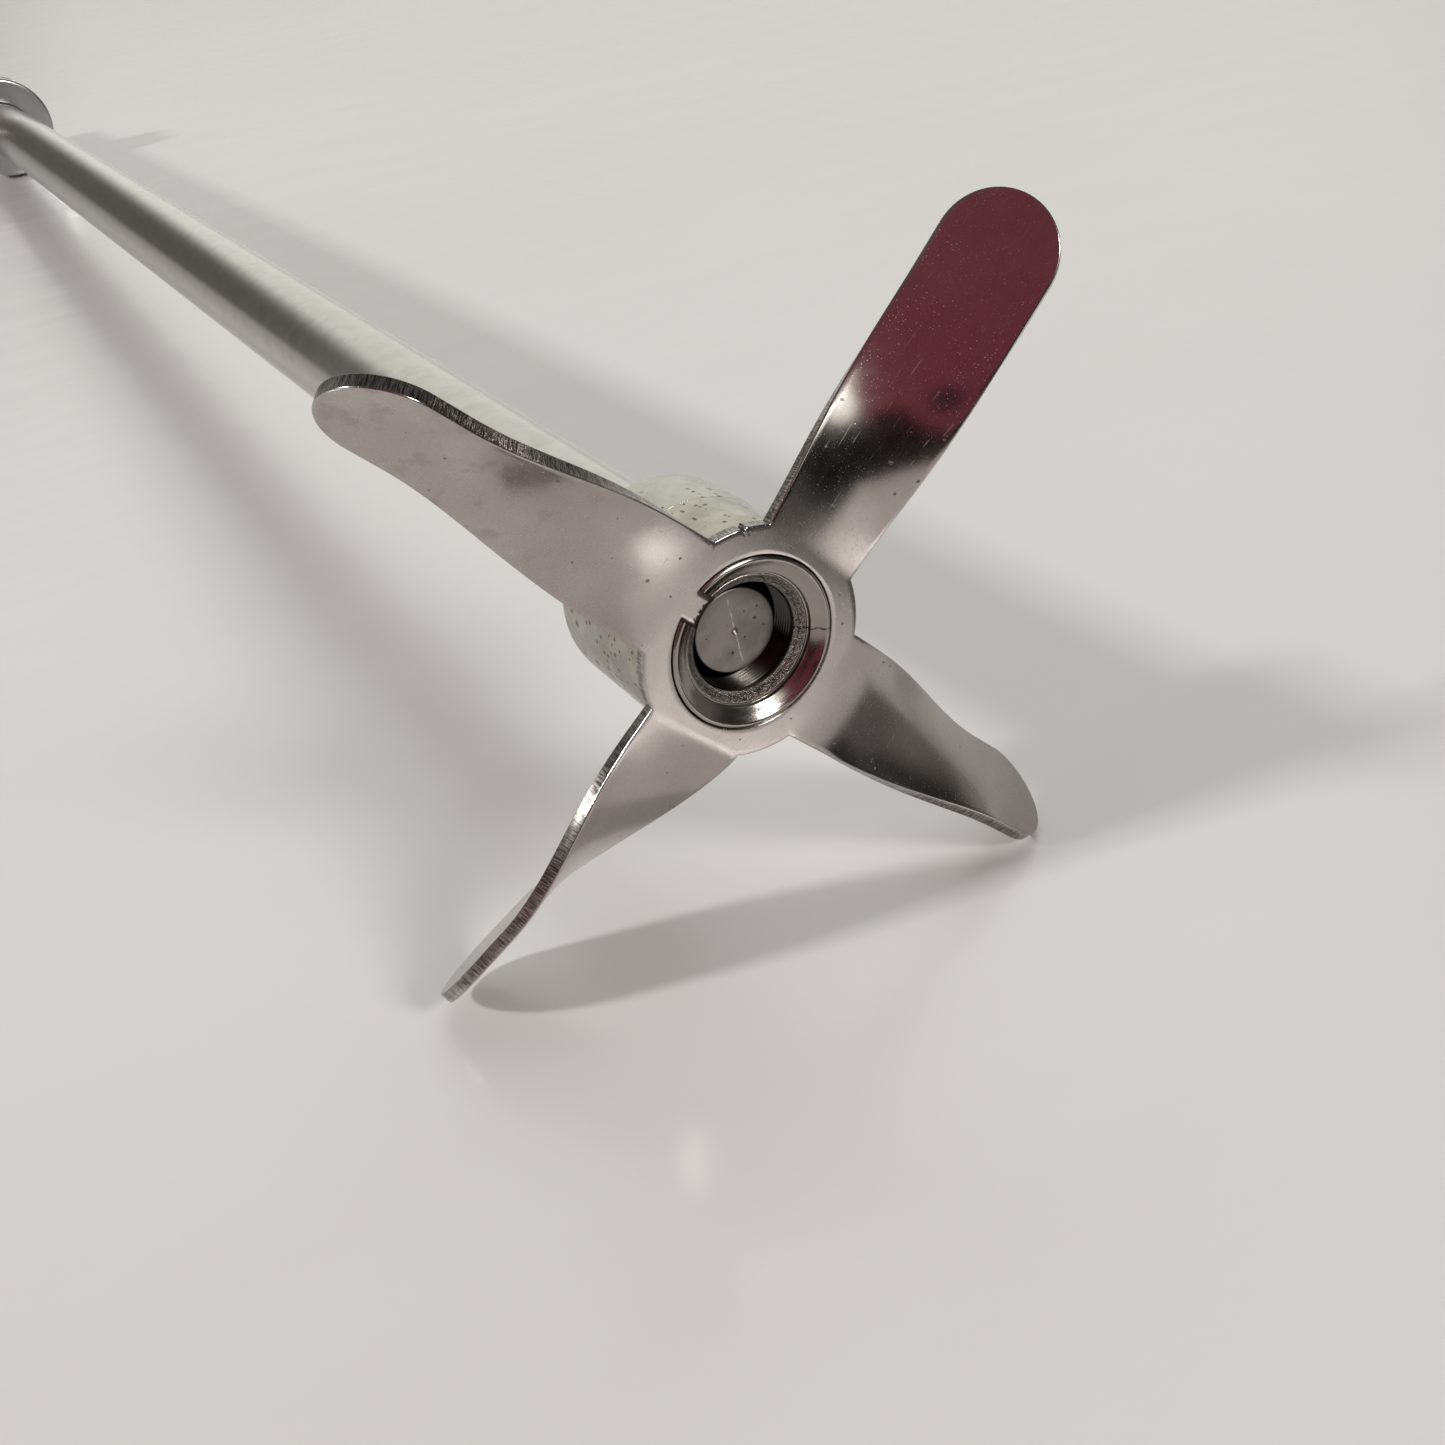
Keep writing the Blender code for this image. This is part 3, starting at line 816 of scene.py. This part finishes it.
def finish_steel(graph, colour, roughness, normal):
    shader = graph.node("BsdfPrincipled", {
        "Base Color": colour, "Roughness": roughness, "Metallic": 1.0, "Normal": normal})
    graph.node("OutputMaterial", {"Surface": shader})


def streaks(graph, spot, angle, plane, scale, low, high, seed):
    """Thin straight scratches running one way, broken into pieces."""
    shifted = graph.vector("ADD", spot, (seed, 1.7 * seed, 0.0))
    thin = graph.stretched(shifted, plane, (0.0, 0.0, angle))
    lines = graph.ramp(graph.noise(thin, scale, 1.0), low, high)
    elsewhere = graph.vector("ADD", spot, (0.0, seed, seed))
    patches = graph.ramp(graph.noise(elsewhere, 0.35, 2.0), 0.50, 0.62)
    return graph.math("MULTIPLY", lines, patches)


def specks(graph, spot, scale, share, size, flat=False):
    """Small round pits: 1 inside a pit, for a share of the cells."""
    wobble = graph.node("TexNoise", {"Vector": spot, "Scale": 3.0 * scale, "Detail": 2.0}, 1)
    shifted = graph.vector("ADD", spot, graph.scaled(wobble, 0.22 / scale))
    distance, colour = graph.cells(shifted, scale, flat)
    chosen = graph.math("LESS_THAN", graph.node("SeparateColor", {0: colour}), share)
    wide = graph.math("MULTIPLY", graph.node("SeparateColor", {0: colour}, 1), size)
    far = graph.math("DIVIDE", distance, graph.math("ADD", wide, 0.04))
    depth = graph.math("SUBTRACT", 1.0, far)
    return graph.math("MULTIPLY", graph.ramp(depth, 0.0, 0.6), chosen)


def sheet_steel():
    """Rolled, lightly polished stainless sheet: grain, scratches, dust, a stain, a few pits, and
    painted shade on the key tab's tip.
    """
    material, g = new_material("pressed_sheet_steel")
    spot = g.attribute("spot")
    cloud = g.noise(spot, 0.16, 3.0)
    mottle = g.noise(spot, 0.9, 4.0, 0.6)
    grain = g.noise(spot, 7.0, 3.0, 0.65)
    scratch = g.math("MAXIMUM", streaks(g, spot, 58.0, (0.10, 5.0, 1.0), 1.6, 0.68, 0.74, 2.0),
                     streaks(g, spot, -35.0, (0.12, 4.0, 1.0), 1.3, 0.70, 0.75, 11.0))
    pits = g.math("MAXIMUM", specks(g, spot, 1.1, 0.035, 0.15, True),
                  specks(g, spot, 0.55, 0.03, 0.12, True))
    dusty = g.ramp(g.noise(spot, 0.12, 2.0), 0.38, 0.62, 0.35, 1.0)
    dust = g.math("MULTIPLY", specks(g, spot, 4.2, 0.30, 0.16, True), dusty)
    stain = g.math("MULTIPLY", g.ramp(g.noise(spot, 0.42, 3.0, 0.6), 0.54, 0.66),
                   g.ramp(g.part(spot, 1), 16.0, 26.0))
    colour = g.blend(g.ramp(cloud, 0.35, 0.65), (0.455, 0.415, 0.395), (0.500, 0.465, 0.435))
    colour = g.blend(g.ramp(grain, 0.35, 0.65, 0.20, 0.0), colour, (0.22, 0.20, 0.19))
    colour = g.blend(g.math("MULTIPLY", scratch, 0.30), colour, (0.66, 0.64, 0.62))
    colour = g.blend(g.math("MULTIPLY", stain, 0.45), colour, (0.30, 0.265, 0.27))
    colour = g.blend(g.math("MULTIPLY", pits, 0.7), colour, (0.12, 0.105, 0.095))
    colour = g.blend(dust, colour, (0.62, 0.60, 0.60))
    # Painted shade: inside a radius of about 6.3 mm, which on the sheet is only the key tab's tip,
    # the colour goes nearly black with a ragged edge. It stands for the shadowed gap at the tip.
    radius = g.length(g.vector("MULTIPLY", spot, (1.0, 1.0, 0.0)))
    frayed = g.math("ADD", radius, g.ramp(g.noise(spot, 2.6, 3.0, 0.7), 0.3, 0.7, -0.22, 0.22))
    colour = g.blend(g.ramp(frayed, 6.36, 6.24), colour, (0.03, 0.022, 0.02))
    roughness = g.ramp(mottle, 0.3, 0.7, 0.150, 0.180)
    roughness = g.math("ADD", roughness, g.math("MULTIPLY", scratch, 0.16))
    roughness = g.math("ADD", roughness, g.math("MULTIPLY", pits, 0.2))
    roughness = g.math("ADD", roughness, g.math("MULTIPLY", dust, 0.35))
    normal = g.bump(g.noise(spot, 0.22, 1.0), 0.004 * MM)
    normal = g.bump(mottle, 0.0005 * MM, normal)
    normal = g.bump(grain, 0.0004 * MM, normal)
    sunken = g.math("MAXIMUM", pits, g.math("MULTIPLY", scratch, 0.1))
    normal = g.bump(g.math("SUBTRACT", 1.0, sunken), 0.008 * MM, normal)
    finish_steel(g, colour, roughness, normal)
    return material


def sheared_steel():
    """The star's edge: shiny where the punch slid, torn and dark behind, striated across."""
    material, g = new_material("sheared_edge_steel")
    edge = g.attribute("edge")
    across = g.part(edge, 1)
    stripes = g.noise(g.stretched(edge, (1.0, 0.10, 1.0)), 8.0, 3.0, 0.75)
    coarse = g.noise(g.stretched(edge, (1.0, 0.25, 1.0)), 1.6, 2.0, 0.5)
    torn = g.ramp(g.math("ADD", across, g.math("MULTIPLY", coarse, 0.3)), 0.48, 0.62)
    colour = g.blend(torn, (0.54, 0.52, 0.485), (0.38, 0.355, 0.335))
    colour = g.blend(g.ramp(stripes, 0.40, 0.58, 0.88, 0.0), colour, (0.05, 0.046, 0.042))
    roughness = g.math("ADD", g.ramp(torn, 0.0, 1.0, 0.09, 0.20),
                       g.math("MULTIPLY", stripes, 0.10))
    normal = g.bump(stripes, 0.035 * MM)
    normal = g.bump(coarse, 0.02 * MM, normal)
    finish_steel(g, colour, roughness, normal)
    return material


def turned_steel(name, light, dark, roughness, ring_scale, ring_depth, pit_share, pit_size,
                 pit_colour, flat_pits=False, pit_scale=1.15, pitted_from=0.0):
    """Lathe-turned stainless: fine rings round the axis, stains, and pits beyond one radius."""
    material, g = new_material(name)
    spot = g.attribute("spot")
    radius = g.length(g.vector("MULTIPLY", spot, (1.0, 1.0, 0.0)))
    height = g.part(spot, 2)
    slow = g.vector("MULTIPLY", spot, (0.05, 0.05, 0.0))
    across = g.vector("ADD", g.node("CombineXYZ", {0: radius, 1: height}), slow)
    rings = g.noise(across, ring_scale, 3.0, 0.7)
    cloud = g.noise(spot, 0.35, 4.0, 0.6)
    grain = g.noise(spot, 8.0, 2.0, 0.6)
    pits = g.math("MULTIPLY", specks(g, spot, pit_scale, pit_share, pit_size, flat_pits),
                  g.ramp(radius, pitted_from - 0.2, pitted_from))
    colour = g.blend(g.ramp(cloud, 0.35, 0.65), dark, light)
    colour = g.blend(g.ramp(rings, 0.3, 0.5, 0.25, 0.0), colour, dark)
    colour = g.blend(g.math("MULTIPLY", pits, 0.8), colour, pit_colour)
    rough = g.math("ADD", g.ramp(grain, 0.3, 0.7, roughness - 0.04, roughness + 0.05),
                   g.math("MULTIPLY", pits, 0.25))
    normal = g.bump(rings, ring_depth)
    normal = g.bump(grain, 0.0012 * MM, normal)
    normal = g.bump(g.math("SUBTRACT", 1.0, pits), 0.03 * MM, normal)
    return material, g, spot, colour, rough, normal, radius


def simple_turned(*settings):
    """Turned steel with nothing added."""
    material, g, _, colour, rough, normal, _ = turned_steel(*settings)
    finish_steel(g, colour, rough, normal)
    return material


def boss_steel():
    """The boss's turned steel: a hairline crack in the lip, chatter in the flare, painted shade
    deep in the bore and in the key notch.
    """
    material, g, spot, colour, rough, normal, radius = turned_steel(
        "turned_boss_steel", (0.50, 0.47, 0.41), (0.37, 0.345, 0.295), 0.16, 9.0, 0.0045 * MM,
        0.42, 0.55, (0.09, 0.075, 0.055), pit_scale=1.9, pitted_from=8.8)
    x, y, height = (g.part(spot, index) for index in range(3))
    front = g.ramp(height, -1.70, -1.60)
    wander = g.math("MULTIPLY", g.math("SUBTRACT", g.noise(spot, 1.6, 2.0), 0.5), 0.12)
    azimuth = g.math("ADD", g.math("ARCTAN2", y, x), wander)
    off = g.math("ABSOLUTE", g.math("SUBTRACT", azimuth, CRACK_AZIMUTH - 2.0 * math.pi))
    crack = g.math("MULTIPLY", g.ramp(g.math("MULTIPLY", off, radius), 0.09, 0.03), front)
    # Painted shade: deep in the threaded bore, inside a radius of 4.9 mm and below z = -1.6, the
    # colour goes nearly black.
    bore = g.math("MULTIPLY", g.ramp(radius, 5.02, 4.90), g.ramp(height, -1.42, -1.62))
    flare = g.math("MULTIPLY", g.ramp(radius, 5.75, 5.45), g.ramp(height, -1.70, -1.40))
    chatter = g.noise(g.stretched(spot, (1.0, 1.0, 2.0)), 3.4, 4.0, 0.75)
    lip = g.ramp(radius, 8.2, 7.7)
    colour = g.blend(g.math("MULTIPLY", lip, 0.60), colour, (0.31, 0.285, 0.27))
    # Painted shade in the bore.
    colour = g.blend(g.math("MULTIPLY", bore, 0.88), colour, (0.02, 0.018, 0.016))
    colour = g.blend(g.math("MULTIPLY", crack, 0.9), colour, (0.02, 0.015, 0.015))
    worn = g.math("MULTIPLY", flare, g.ramp(chatter, 0.42, 0.58, 0.75, 0.0))
    colour = g.blend(worn, colour, (0.07, 0.06, 0.055))
    # Painted shade: the key notch's walls and floor inside the lip are painted nearly black.
    slot = g.math("MULTIPLY", g.ramp(g.math("ABSOLUTE", x), 1.46, 1.40), g.ramp(y, 0.0, 0.5))
    slot = g.math("MULTIPLY", slot, g.ramp(radius, 7.44, 7.38))
    slot = g.math("MULTIPLY", slot, g.ramp(height, 0.10, 0.04))
    colour = g.blend(g.math("MULTIPLY", slot, 0.92), colour, (0.03, 0.022, 0.02))
    normal = g.bump(g.math("MULTIPLY", chatter, flare), 0.16 * MM, normal)
    finish_steel(g, colour, rough, normal)
    return material


def stud_steel():
    """Dull sawn end of the stud, with one light scratch across its middle and rust-dark pits."""
    material, g, spot, colour, rough, normal, radius = turned_steel(
        "stud_end_steel", (0.30, 0.27, 0.25), (0.22, 0.20, 0.185), 0.40, 3.0, 0.006 * MM,
        0.22, 0.17, (0.035, 0.028, 0.026), True)
    turned = g.stretched(spot, (1.0, 1.0, 1.0), (0.0, 0.0, -53.0))
    side = g.part(turned, 1)
    wander = g.ramp(g.noise(spot, 1.2, 2.0), 0.0, 1.0, -0.12, 0.12)
    off = g.math("ABSOLUTE", g.math("ADD", side, wander))
    broken = g.ramp(g.noise(spot, 2.5, 2.0), 0.38, 0.5)
    line = g.math("MULTIPLY", g.ramp(off, 0.09, 0.03), broken)
    line = g.math("MULTIPLY", line, g.ramp(radius, 3.2, 2.9))
    colour = g.blend(g.math("MULTIPLY", line, 0.6), colour, (0.66, 0.64, 0.60))
    finish_steel(g, colour, rough, normal)
    return material


def black_steel():
    """Blackened screw steel, worn brighter on its high spots."""
    material, g = new_material("screw_black_steel")
    spot = g.attribute("spot")
    wear = g.ramp(g.noise(spot, 2.2, 4.0, 0.7), 0.52, 0.68)
    colour = g.blend(wear, (0.035, 0.035, 0.04), (0.30, 0.29, 0.28))
    roughness = g.ramp(wear, 0.0, 1.0, 0.48, 0.32)
    normal = g.bump(g.noise(spot, 6.0, 3.0), 0.006 * MM)
    finish_steel(g, colour, roughness, normal)
    return material


def floor_material():
    """Plain pale table top with a soft gloss."""
    material, g = new_material("pale_floor")
    spot = g.node("TexCoord", output="Object")
    cloud = g.noise(spot, 6.0, 3.0)
    colour = g.blend(g.ramp(cloud, 0.3, 0.7), (0.715, 0.702, 0.696), (0.735, 0.723, 0.718))
    ripple = g.noise(g.stretched(spot, (0.35, 1.0, 1.0)), 60.0, 2.0)
    normal = g.bump(ripple, 0.4 * MM)
    shader = g.node("BsdfPrincipled", {"Base Color": colour, "Roughness": 0.22, "Normal": normal,
                                       "Specular IOR Level": 0.5})
    g.node("OutputMaterial", {"Surface": shader})
    return material


# ---- stage --------------------------------------------------------------------------------------

def aim(azimuth, elevation):
    """Unit vector towards an azimuth (0 is +Y, 90 is +X) and elevation in degrees."""
    a, e = math.radians(azimuth), math.radians(elevation)
    return Vector((math.sin(a) * math.cos(e), math.cos(a) * math.cos(e), math.sin(e)))


# Soft patches of the surroundings that the steel mirrors, later ones over earlier ones:
# azimuth, elevation, radius where the patch is full, radius where it ends, colour
SURROUNDINGS = (
    (0.0, 90.0, 34.0, 62.0, (0.10, 0.10, 0.10)),
    (22.0, 14.0, 24.0, 46.0, (0.90, 0.90, 0.84)),
    (-9.0, 4.0, 8.0, 19.0, (0.12, 0.11, 0.10)),
    (-55.0, 15.0, 15.0, 40.0, (0.44, 0.42, 0.40)),
    (-46.0, 28.0, 9.0, 19.0, (0.03, 0.03, 0.028)),
    (-86.0, 23.0, 5.0, 13.0, (1.6, 1.6, 1.5)),
    (-117.0, 4.0, 10.0, 20.0, (0.03, 0.03, 0.03)),
    (116.0, 16.0, 19.0, 36.0, (0.03, 0.028, 0.024)),
    (139.0, 9.0, 14.0, 28.0, (0.035, 0.032, 0.03)),
    (110.0, -24.0, 24.0, 42.0, (0.19, 0.175, 0.165)),
    (140.0, -14.0, 8.0, 24.0, (0.14, 0.13, 0.125)),
    (-152.0, 24.0, 24.0, 36.0, (0.225, 0.052, 0.078)),
    (170.0, -4.0, 12.0, 24.0, (0.006, 0.006, 0.006)),
    (-172.0, 4.0, 8.0, 16.0, (0.012, 0.006, 0.008)),
    (-161.0, -7.0, 9.0, 15.0, (0.010, 0.008, 0.008)),
    (-148.5, 14.0, 2.5, 6.5, (0.020, 0.014, 0.028)),
    (168.0, 22.0, 3.0, 9.5, (1.7, 1.7, 1.6)),
)
SURROUNDINGS_BASE = (0.30, 0.29, 0.28)
BACKDROP = (0.64, 0.63, 0.625)


def make_world():
    """Soft patches for the steel to mirror; the camera itself sees one plain backdrop."""
    world = bpy.data.worlds.new("studio")
    world.use_nodes = True
    world.node_tree.nodes.clear()
    g = Graph(world.node_tree)
    toward = g.node("TexCoord", output="Generated")
    colour = g.node("RGB")
    colour.default_value = (*SURROUNDINGS_BASE, 1.0)
    for azimuth, elevation, inner, outer, patch in SURROUNDINGS:
        nearness = g.vector("DOT_PRODUCT", toward, tuple(aim(azimuth, elevation)), "Value")
        share = g.ramp(nearness, math.cos(math.radians(outer)), math.cos(math.radians(inner)))
        colour = g.blend(share, colour, patch)
    seen = g.node("LightPath", output="Is Camera Ray")
    colour = g.blend(seen, colour, BACKDROP)
    background = g.node("Background", {"Color": colour, "Strength": 1.0})
    g.node("OutputWorld", {"Surface": background})
    bpy.context.scene.world = world


def make_lamps():
    """Square area lamps, each facing the centre of the star."""
    star_centre = PLACE @ Vector((0.0, 0.0, 0.0))
    for name, (azimuth, elevation, distance, side, power, colour, mirrored) in LAMPS.items():
        data = bpy.data.lights.new(name, "AREA")
        data.shape = "SQUARE"
        data.size = side
        data.energy = power
        data.color = colour
        lamp = new_object(name, data)
        toward = aim(azimuth, elevation)
        lamp.location = star_centre + toward * distance
        lamp.rotation_mode = "QUATERNION"
        lamp.rotation_quaternion = toward.to_track_quat("Z", "Y")
        lamp.visible_glossy = mirrored


def make_floor():
    """A table in two level parts, of which the front one is neither mirrored nor throws light."""
    material = floor_material()
    mirrored = ((-TABLE_REACH, TABLE_CORNER_Y, TABLE_REACH, TABLE_REAR_Y),
                (-TABLE_REACH, TABLE_FRONT_Y, TABLE_CORNER_X, TABLE_CORNER_Y))
    unmirrored = ((TABLE_CORNER_X, TABLE_FRONT_Y, TABLE_REACH, TABLE_CORNER_Y),
                  (-TABLE_REACH, -TABLE_REACH, TABLE_REACH, TABLE_FRONT_Y))
    for name, boxes in (("table", mirrored), ("table_front", unmirrored)):
        corners, faces = [], []
        for x0, y0, x1, y1 in boxes:
            first = len(corners)
            corners += [(x0, y0, 0.0), (x1, y0, 0.0), (x1, y1, 0.0), (x0, y1, 0.0)]
            faces.append(tuple(range(first, first + 4)))
        mesh = bpy.data.meshes.new(name)
        mesh.from_pydata(corners, [], faces)
        mesh.materials.append(material)
        floor = new_object(name, mesh)
        floor.visible_glossy = floor.visible_diffuse = boxes is mirrored


def make_camera():
    data = bpy.data.cameras.new("camera")
    data.sensor_width = 36.0
    data.lens = CAMERA_LENS
    data.clip_start, data.clip_end = 0.005, 20.0
    camera = new_object("camera", data)
    camera.location = CAMERA_LOCATION
    camera.rotation_euler = tuple(math.radians(angle) for angle in CAMERA_TURN)
    bpy.context.scene.camera = camera


def make_pieces():
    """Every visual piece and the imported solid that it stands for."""
    star = new_object("pressed_star", star_shape().mesh("pressed_star"))
    settle(star, [sheet_steel(), sheared_steel()], "propeller_star")

    boss = new_object("clinched_boss", boss_shape().mesh("clinched_boss"))
    cut_away(boss, notch_cutter())
    settle(boss, [boss_steel()], "hub_boss", 30.0)

    ferrule_steel = simple_turned("turned_ferrule_steel", (0.53, 0.51, 0.47), (0.46, 0.44, 0.405),
                                  0.24, 7.0, 0.003 * MM, 0.40, 0.45, (0.16, 0.14, 0.12))
    shaft_steel = simple_turned("polished_shaft_steel", (0.56, 0.54, 0.51), (0.50, 0.48, 0.45),
                                0.14, 5.0, 0.0015 * MM, 0.06, 0.08, (0.35, 0.33, 0.31))
    for name, shape, material, slot, node in (
            ("sleeve_ferrule", ferrule_shape(), ferrule_steel, "turned_ferrule", "hub_ferrule"),
            ("stud_end", stud_shape(), stud_steel(), "stud_face", "shaft_stud"),
            ("polished_tube", tube_shape(), shaft_steel, "polished_shaft", "shaft_tube"),
            ("end_plug", plug_shape(), shaft_steel, "polished_shaft", "shaft_end_plug")):
        settle(new_object(name, shape.mesh(name)), [material], node)

    collar_steel = simple_turned("collar_steel", (0.60, 0.60, 0.60), (0.53, 0.53, 0.53),
                                 0.27, 4.0, 0.006 * MM, 0.10, 0.12, (0.2, 0.2, 0.2))
    settle(collar_object(), [collar_steel], "drive_collar")
    screw_steel = black_steel()
    for number, azimuth in enumerate(SCREW_AZIMUTHS, 1):
        settle(screw_object(f"grub_screw_{number}", azimuth), [screw_steel],
               f"collar_screw_{number}")


make_camera()
make_world()
make_floor()
make_lamps()
make_pieces()
bpy.context.scene.view_settings.view_transform = "Standard"
